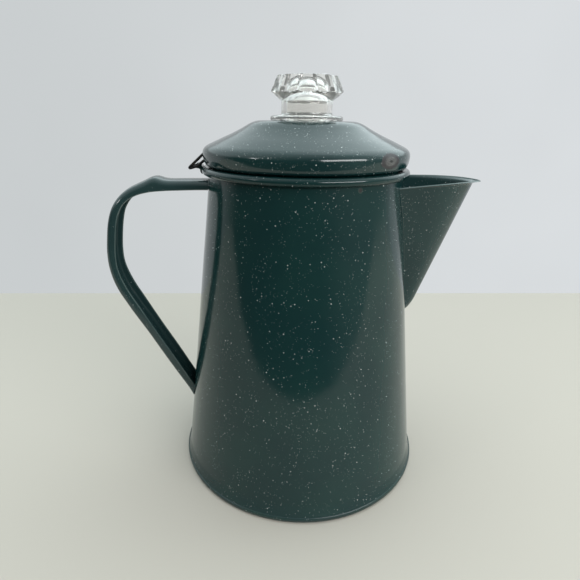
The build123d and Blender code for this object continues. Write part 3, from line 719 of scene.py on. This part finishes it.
def bead_along(name, pts, radius, mat, body, normal_fn=None, seed=0.0, closed=False, press=0.6):
    """Soft weld bead: a tube along points, its radius uneven, flattened towards the wall."""
    bm = bmesh.new()
    n = len(pts)
    rows_ = []
    for k, p in enumerate(pts):
        a, b = pts[(k - 1) % n if closed else max(k - 1, 0)], pts[(k + 1) % n if closed else min(k + 1, n - 1)]
        t = (Vector(b) - Vector(a)).normalized()
        radial = Vector((p[0], p[1], 0)).normalized()
        side = t.cross(radial).normalized()
        out = side.cross(t).normalized()
        rad = radius * (1.0 + 0.22 * noise.noise(Vector(p) * 0.35 + Vector((seed, 0, 0))))
        if not closed:
            rad *= min(1.0, 0.35 + 0.65 * min(k, n - 1 - k) / max(3.0, n * 0.06))
        rows_.append([bm.verts.new((Vector(p) + side * rad * math.cos(2 * math.pi * j / 12) + out * rad * press * math.sin(2 * math.pi * j / 12)) * MM) for j in range(12)])
    for k in range(n if closed else n - 1):
        a, b = rows_[k], rows_[(k + 1) % n]
        for j in range(12):
            bm.faces.new((a[j], b[j], b[(j + 1) % 12], a[(j + 1) % 12]))
    if not closed:
        bm.faces.new(list(reversed(rows_[0])))
        bm.faces.new(rows_[-1])
    return finish_mesh(name, bm, mat, body, (), 60)


def on_wall(y, z, side=-1.0):
    r = wall_r(z)
    return (side * math.sqrt(max(r * r - y * y, 0.0)), y, z)


# weld lines where the handle meets the wall
def handle_weld(name, z_out, z_in, hw, seed):
    up = z_out > z_in
    pts = []
    zo, zi = z_out, z_in
    s = 1 if up else -1
    for k in range(9):
        pts.append(on_wall(-hw, zi + (zo - s * CR - zi) * k / 8))
    for k in range(1, 8):
        a = math.pi / 2 * k / 8
        pts.append(on_wall(-hw + CR - CR * math.cos(a), zo - s * CR + s * CR * math.sin(a)))
    for k in range(13):
        pts.append(on_wall(-(hw - CR) + 2 * (hw - CR) * k / 12, zo))
    for k in range(1, 8):
        a = math.pi / 2 * k / 8
        pts.append(on_wall(hw - CR + CR * math.sin(a), zo - s * CR + s * CR * math.cos(a)))
    for k in range(9):
        pts.append(on_wall(hw, zo - s * CR + (zi - (zo - s * CR)) * k / 8))
    # the weld bead takes the handle's lighter enamel with its painted light
    return bead_along(name, pts, 0.95, m_handle_painted_light, "pot", seed=seed)


handle_weld("handle_weld_top", 185.6, 181.0, W / 2 + 1.2, 1.0)

# ------------------------------------------------------------------ spout
SP_APEX = (67.7, 86.0)
FRONT, LIP = 104.0, 109.3
LIP_H = 1.5
RIM_LINE = catmull([(36.0, 183.3), (42.0, 183.7), (56.0, 184.6), (68.0, 185.3), (80.0, 185.7), (90.0, 185.85), (100.0, 185.7), (109.4, 185.1), (114.0, 184.7)], 0.5)
TOE = catmull([(64.0, 98.7), (66.0, 98.8), (69.0, 99.5), (71.3, 100.8), (73.1, 103.0), (75.6, 107.3), (77.4, 111.6), (79.6, 117.4)], 0.5)


def along(line, v, key, val):
    for p, q in zip(line, line[1:]):
        if p[key] <= v <= q[key]:
            return p[val] + (q[val] - p[val]) * (v - p[key]) / max(q[key] - p[key], 1e-9)
    return line[0][val] if v < line[0][key] else line[-1][val]


def rim_z(x, dz=0.0):
    return along(RIM_LINE, x, 0, 1) + dz


def toe_in(p, shift):
    """Draws the bottom of the spout in to the wall along the toe curve."""
    x, y, z = p
    if z >= 117.4 + shift:
        return p
    fold = SP_APEX[0] + (z - SP_APEX[1]) * (FRONT - SP_APEX[0]) / (184.0 - SP_APEX[1])
    wall = wall_r(z) - 3.0
    want = along(TOE, z - shift, 1, 0)
    if z - shift < 98.7:
        want = wall
    k = max(0.0, min(1.0, (want - wall) / max(fold - wall, 1e-6)))
    return (wall + (x - wall) * k if x > wall else x, y * (0.4 + 0.6 * k), z)


def arch(front, grow, n=60):
    """Half-arch control to a dense symmetric arch, from +y back to the nose and on to -y."""
    sc = (front - 56.0) / (FRONT - 56.0)
    half = [(56.0 + (x - 56.0) * sc, y + grow * g) for x, y, g in
            ((42.0, 30.6, 1), (56.0, 27.0, 1), (70.0, 23.6, 1), (83.0, 18.8, 1), (92.8, 13.2, 1), (99.4, 7.8, 0.9), (102.7, 3.6, 0.6))]
    pts = half + [(front, 0.0)] + [(x, -y) for x, y in reversed(half)]
    return catmull(pts, 0.5)


def spout_rows(front_of, grow_of, dz_of, ks, n_s, apex):
    """Grid of points: one row per scale k, trimmed inside the wall sheet."""
    rows_ = []
    for k in ks:
        front, grow, dz, kk = front_of(k), grow_of(k), dz_of(k), min(k, 1.0)
        a = arch(front, grow)
        world = []
        for x, y in a:
            z = rim_z(x, dz)
            world.append(toe_in((apex[0] + kk * (x - apex[0]), kk * y, apex[1] + kk * (z - apex[1])), 0.0 if apex is SP_APEX else 1.0))
        # keep what lies outside the middle of the wall sheet
        def out(p):
            return math.hypot(p[0], p[1]) - (wall_r(p[2]) - 0.5)
        i0 = next((i for i, p in enumerate(world) if out(p) > 0), None)
        if i0 is None:
            continue
        i1 = len(world) - 1 - next(i for i, p in enumerate(reversed(world)) if out(p) > 0)
        def cross(p, q):
            a_, b_ = out(p), out(q)
            t = a_ / (a_ - b_)
            return tuple(p[j] + (q[j] - p[j]) * t for j in range(3))
        seq = []
        if i0 > 0:
            seq.append(cross(world[i0 - 1], world[i0]))
        seq += world[i0:i1 + 1]
        if i1 < len(world) - 1:
            seq.append(cross(world[i1], world[i1 + 1]))
        # even spacing
        d = [0.0]
        for p, q in zip(seq, seq[1:]):
            d.append(d[-1] + math.dist(p, q))
        res, j = [], 0
        for i in range(n_s):
            t = d[-1] * i / (n_s - 1)
            while j < len(d) - 2 and d[j + 1] < t:
                j += 1
            u = (t - d[j]) / max(d[j + 1] - d[j], 1e-9)
            res.append(tuple(seq[j][c] + (seq[j + 1][c] - seq[j][c]) * u for c in range(3)))
        rows_.append(res)
    return rows_


def spout_mesh():
    ns = 121
    ks = [0.135 + (1.0 - 0.135) * (i / 70) for i in range(71)]
    lip = [1.0 + 0.001 * j for j in range(1, 7)]
    def t_of(k):
        return 0.0 if k <= 1.0 else (k - 1.0) / 0.006
    out_rows = spout_rows(lambda k: FRONT + (LIP - FRONT - 0.35) * t_of(k) ** 1.6, lambda k: 0.75 * t_of(k) ** 1.6, lambda k: -LIP_H + (LIP_H - 0.15) * t_of(k), ks + lip, ns, SP_APEX)
    in_rows = spout_rows(lambda k: FRONT - 1.5 + (LIP - FRONT + 0.15) * t_of(k) ** 1.6, lambda k: -0.95 + 0.75 * t_of(k) ** 1.6, lambda k: -LIP_H + (LIP_H - 0.1) * t_of(k), ks + lip, ns, (SP_APEX[0] + 0.3, SP_APEX[1] + 3.4))
    bm = bmesh.new()
    def put(rows_):
        return [[bm.verts.new(Vector(p) * MM) for p in r] for r in rows_]
    ov, iv = put(out_rows), put(in_rows)
    # rounded cut edge along the rim
    edge = []
    for t in (0.25, 0.5, 0.75):
        row = []
        for p, q in zip(out_rows[-1], in_rows[-1]):
            c = (Vector(p) + Vector(q)) / 2
            h = (Vector(q) - Vector(p)).length / 2
            row.append(bm.verts.new((Vector(p).lerp(Vector(q), t) + Vector((0, 0, 1)) * h * 0.9 * math.sin(math.pi * t)) * MM))
        edge.append(row)
    def skin(rows_, mi=0):
        for a, b in zip(rows_, rows_[1:]):
            for j in range(len(a) - 1):
                bm.faces.new((a[j], a[j + 1], b[j + 1], b[j])).material_index = mi
    skin(ov)
    # the cut edge of the rim takes the lighter edge enamel, a painted highlight line along it
    skin([ov[-1]] + edge + [iv[-1]], 1)
    skin(list(reversed(iv)))
    # close the long edges that lie inside the wall
    for side in (0, -1):
        a = [r[side] for r in ov] + [r[side] for r in edge]
        b = [r[side] for r in iv]
        k1, k2 = len(a), len(b)
        for i in range(k2 - 1):
            i1 = round(i * (k1 - 1) / (k2 - 1))
            i2 = round((i + 1) * (k1 - 1) / (k2 - 1))
            for j in range(i1, i2):
                bm.faces.new((a[j], a[j + 1], b[i]))
            if b[i] is not b[i + 1] and a[i2] is not b[i]:
                bm.faces.new((a[i2], b[i + 1], b[i]))
    # small foot of the spout
    bm.faces.new(ov[0])
    bm.faces.new(list(reversed(iv[0])))
    return bm, out_rows


bm, sp_rows = spout_mesh()
finish_mesh("spout_shell", bm, [m_spout, m_edge_painted_highlight], "pot", ["spout"], 40)


# thin fillet of enamel where the spout meets the wall
def to_wall(p):
    r = wall_r(p[2])
    m = math.hypot(p[0], p[1])
    return (p[0] / m * r, p[1] / m * r, p[2])


left = [to_wall(r[0]) for r in sp_rows if r[0][2] < 184.6]
right = [to_wall(r[-1]) for r in sp_rows if r[-1][2] < 184.6]
seam = list(reversed(left)) + right[1:]
seam = [p for i, p in enumerate(seam) if i == 0 or math.dist(p, seam[i - 1]) > 0.25]
bead_along("spout_weld", seam, 0.75, m_spout, "pot", seed=5.0, press=0.7)

# ------------------------------------------------------------------ hinge
def tube_mesh(name, pts, radius, mat, body, nodes=(), slot=None, closed=False, sides=16):
    cu = bpy.data.curves.new(name, "CURVE")
    cu.dimensions = "3D"
    sp = cu.splines.new("POLY")
    sp.points.add(len(pts) - 1)
    for s, p in zip(sp.points, pts):
        s.co = (p[0] * MM, p[1] * MM, p[2] * MM, 1)
    sp.use_cyclic_u = closed
    cu.bevel_depth = radius * MM
    cu.bevel_resolution = sides // 4
    cu.use_fill_caps = True
    o = bpy.data.objects.new(name + "_curve", cu)
    bpy.context.scene.collection.objects.link(o)
    dg_ = bpy.context.evaluated_depsgraph_get()
    me = bpy.data.meshes.new_from_object(o.evaluated_get(dg_), depsgraph=dg_)
    bpy.data.objects.remove(o)
    bm_ = bmesh.new()
    bm_.from_mesh(me)
    bpy.data.meshes.remove(me)
    bmesh.ops.remove_doubles(bm_, verts=bm_.verts, dist=1e-7)
    return bm_


def round_path(pts, rad, n=8, closed=True):
    """Polyline with rounded corners."""
    out = []
    m = len(pts)
    for k in range(m):
        p = Vector(pts[k])
        if not closed and k in (0, m - 1):
            out.append(p)
            continue
        a, b = Vector(pts[(k - 1) % m]), Vector(pts[(k + 1) % m])
        u, v = (a - p).normalized(), (b - p).normalized()
        half = math.acos(max(-1, min(1, u.dot(v)))) / 2
        d = min(rad / math.tan(half), (a - p).length * 0.45, (b - p).length * 0.45)
        s, e = p + u * d, p + v * d
        for j in range(n + 1):
            t = j / n
            out.append((s * (1 - t) ** 2 + p * 2 * t * (1 - t) + e * t ** 2))
    return out


WA, WT, WH, WB = (-56.8, 201.9), (-67.9, 191.8), (HINGE_X, HINGE_Z), (-56.8, 197.8)
wb = bmesh.new()
for y in (-5.5, 5.5):
    loop = [(WA[0], y, WA[1]), (WT[0], y, WT[1]), (WH[0], y, WH[1]), (WB[0], y, WB[1])]
    part = tube_mesh("w", round_path(loop, 1.0, 10), 0.75, m_wire, "lid", closed=True, sides=20)
    tmp = bpy.data.meshes.new("tmp")
    part.to_mesh(tmp)
    part.free()
    wb.from_mesh(tmp)
    bpy.data.meshes.remove(tmp)
part = tube_mesh("w", [(HINGE_X, -5.5, HINGE_Z), (HINGE_X, 0, HINGE_Z), (HINGE_X, 5.5, HINGE_Z)], 0.75, m_wire, "lid", sides=20)
tmp = bpy.data.meshes.new("tmp")
part.to_mesh(tmp)
part.free()
wb.from_mesh(tmp)
bpy.data.meshes.remove(tmp)
finish_mesh("hinge_wire_bent", wb, m_wire, "lid", ["hinge_wire"], 50)

# ------------------------------------------------------------------ carried-over CAD nodes
def dress(name, mat):
    o = NODES[name]
    o.data.materials.clear()
    o.data.materials.append(mat)
    for p in o.data.polygons:
        p.material_index = 0


dress("hinge_lug", m_trim)
dress("pump_tube", m_tube)
dress("stop_ring", m_alu)
dress("pump_base", m_alu)
dress("basket_cup", m_alu)
dress("basket_sleeve", m_tube)
dress("basket_cover", m_alu)

# ------------------------------------------------------------------ stage
ca, sa = math.cos(-TURN), math.sin(-TURN)


def turned(x, y, z):
    return (x * ca - y * sa, x * sa + y * ca, z)


# a plain pale table top; its near edge lies a hand's length in front of the pot
def table():
    me = bpy.data.meshes.new("floor")
    me.from_pydata([turned(-2.6, -0.27, 0), turned(2.6, -0.27, 0), turned(2.6, 0.468, 0), turned(-2.6, 0.104, 0)], [], [(0, 1, 2, 3)])
    o = bpy.data.objects.new("floor", me)
    bpy.context.scene.collection.objects.link(o)
    m, nt, bsdf = new_mat("floor")
    bsdf.inputs["Base Color"].default_value = (0.56, 0.52, 0.455, 1.0)
    bsdf.inputs["Roughness"].default_value = 0.7
    me.materials.append(m)


table()


def screen(name, verts, left, right_c):
    """A wall that glows instead of being lit: its emission is painted light, brighter towards the right, with soft
    darker blotches.
    """
    me = bpy.data.meshes.new(name)
    me.from_pydata(verts, [], [(0, 1, 2, 3)])
    o = bpy.data.objects.new(name, me)
    bpy.context.scene.collection.objects.link(o)
    m, nt, bsdf = new_mat(name)
    vec = coords_mm(nt)
    sx = node(nt, "ShaderNodeSeparateXYZ")
    link(nt, vec, sx.inputs[0])
    # painted light: the emission colour grows brighter towards the right
    c = mix_col(nt, smooth(nt, sx.outputs[0], -900.0, 900.0), left, right_c)
    c = mix_col(nt, math_node(nt, "MULTIPLY", noise_tex(nt, vec, 420.0, 2.0), 0.25), c, tuple(v * 0.82 for v in left))
    bsdf.inputs["Base Color"].default_value = (0.0, 0.0, 0.0, 1.0)
    bsdf.inputs["Roughness"].default_value = 1.0
    bsdf.inputs["Specular IOR Level"].default_value = 0.0
    link(nt, c, bsdf.inputs["Emission Color"])
    bsdf.inputs["Emission Strength"].default_value = 1.0
    me.materials.append(m)


screen("backdrop", [turned(-3.2, 1.25, -1.6), turned(3.2, 1.25, -1.6), turned(3.2, 1.25, 0.64), turned(-3.2, 1.25, 0.64)], (0.60, 0.63, 0.64), (0.72, 0.75, 0.77))

# ------------------------------------------------------------------ light
world = bpy.data.worlds.new("studio")
bpy.context.scene.world = world
world.use_nodes = True
wn = world.node_tree
wn.nodes.clear()
wo = wn.nodes.new("ShaderNodeOutputWorld")
bg = wn.nodes.new("ShaderNodeBackground")
wn.links.new(bg.outputs[0], wo.inputs[0])
tc = wn.nodes.new("ShaderNodeTexCoord")
sp = wn.nodes.new("ShaderNodeSeparateXYZ")
wn.links.new(tc.outputs["Generated"], sp.inputs[0])
# plain soft light: dim in front, brighter to the right, behind and above
room = mix_col(wn, smooth(wn, sp.outputs[0], -0.6, 0.15), (0.060, 0.064, 0.058), (0.075, 0.080, 0.074))
room = mix_col(wn, smooth(wn, sp.outputs[0], 0.15, 0.85), room, (0.34, 0.36, 0.35))
c1 = mix_col(wn, smooth(wn, sp.outputs[1], -0.10, 0.45), room, (0.62, 0.65, 0.66))
# the light above fades towards the viewer
front_up = math_node(wn, "MULTIPLY", smooth(wn, sp.outputs[1], -1.25, -0.05), smooth(wn, sp.outputs[2], 0.04, 0.50))
c1 = mix_col(wn, front_up, c1, (0.95, 1.04, 1.06))
back_up = math_node(wn, "MULTIPLY", smooth(wn, sp.outputs[1], -0.10, 0.14), smooth(wn, sp.outputs[2], 0.10, 0.34))
side_gain = smooth(wn, sp.outputs[0], -0.25, 0.45, 1.0, 1.50)
sky = node(wn, "ShaderNodeVectorMath", operation="SCALE")
sky.inputs[0].default_value = (1.12, 1.27, 1.30)
link(wn, side_gain, sky.inputs[3])
c2 = mix_col(wn, back_up, c1, sky.outputs[0])
wn.links.new(c2, bg.inputs[0])
bg.inputs[1].default_value = 1.0


def area(name, loc, target, size, power, size_y=None, col=(1, 1, 1)):
    d = bpy.data.lights.new(name, "AREA")
    d.energy = power
    d.color = col
    d.shape = "RECTANGLE" if size_y else "SQUARE"
    d.size = size
    if size_y:
        d.size_y = size_y
    o = bpy.data.objects.new(name, d)
    o.location = turned(*loc)
    o.rotation_mode = "QUATERNION"
    o.rotation_quaternion = (Vector(turned(*target)) - Vector(turned(*loc))).to_track_quat("-Z", "Y")
    bpy.context.scene.collection.objects.link(o)
    return o


area("window_right", (0.86, -0.98, 0.60), (0, 0, 0.2), 1.2, 11.5, 0.30)
area("window_left", (-1.05, -0.72, 0.58), (0, 0, 0.2), 0.16, 0.8, 0.10)

# ------------------------------------------------------------------ camera
D, HC, PSI, TH, RHO, F = 273.4153, 219.9115, -0.0293, 0.3679, 0.0147, 447.7302
fw = Vector((math.sin(PSI) * math.cos(TH), math.cos(PSI) * math.cos(TH), -math.sin(TH)))
right = fw.cross(Vector((0, 0, 1))).normalized()
upv = right.cross(fw)
r2 = right * math.cos(RHO) + upv * math.sin(RHO)
u2 = -right * math.sin(RHO) + upv * math.cos(RHO)
rot = Matrix.Rotation(-TURN, 3, "Z")
r3, u3, f3 = rot @ r2, rot @ u2, rot @ fw
cam = bpy.data.cameras.new("camera")
cam.sensor_width = 36.0
cam.lens = F * 36.0 / 580.0
cam.clip_start, cam.clip_end = 0.01, 50.0
co = bpy.data.objects.new("camera", cam)
pos = rot @ Vector((0, -D * MM, HC * MM))
m4 = Matrix(((r3.x, u3.x, -f3.x, pos.x), (r3.y, u3.y, -f3.y, pos.y), (r3.z, u3.z, -f3.z, pos.z), (0, 0, 0, 1)))
co.matrix_world = m4
bpy.context.scene.collection.objects.link(co)
bpy.context.scene.camera = co
bpy.context.scene.view_settings.view_transform = "Standard"
bpy.context.scene.view_settings.look = "None"
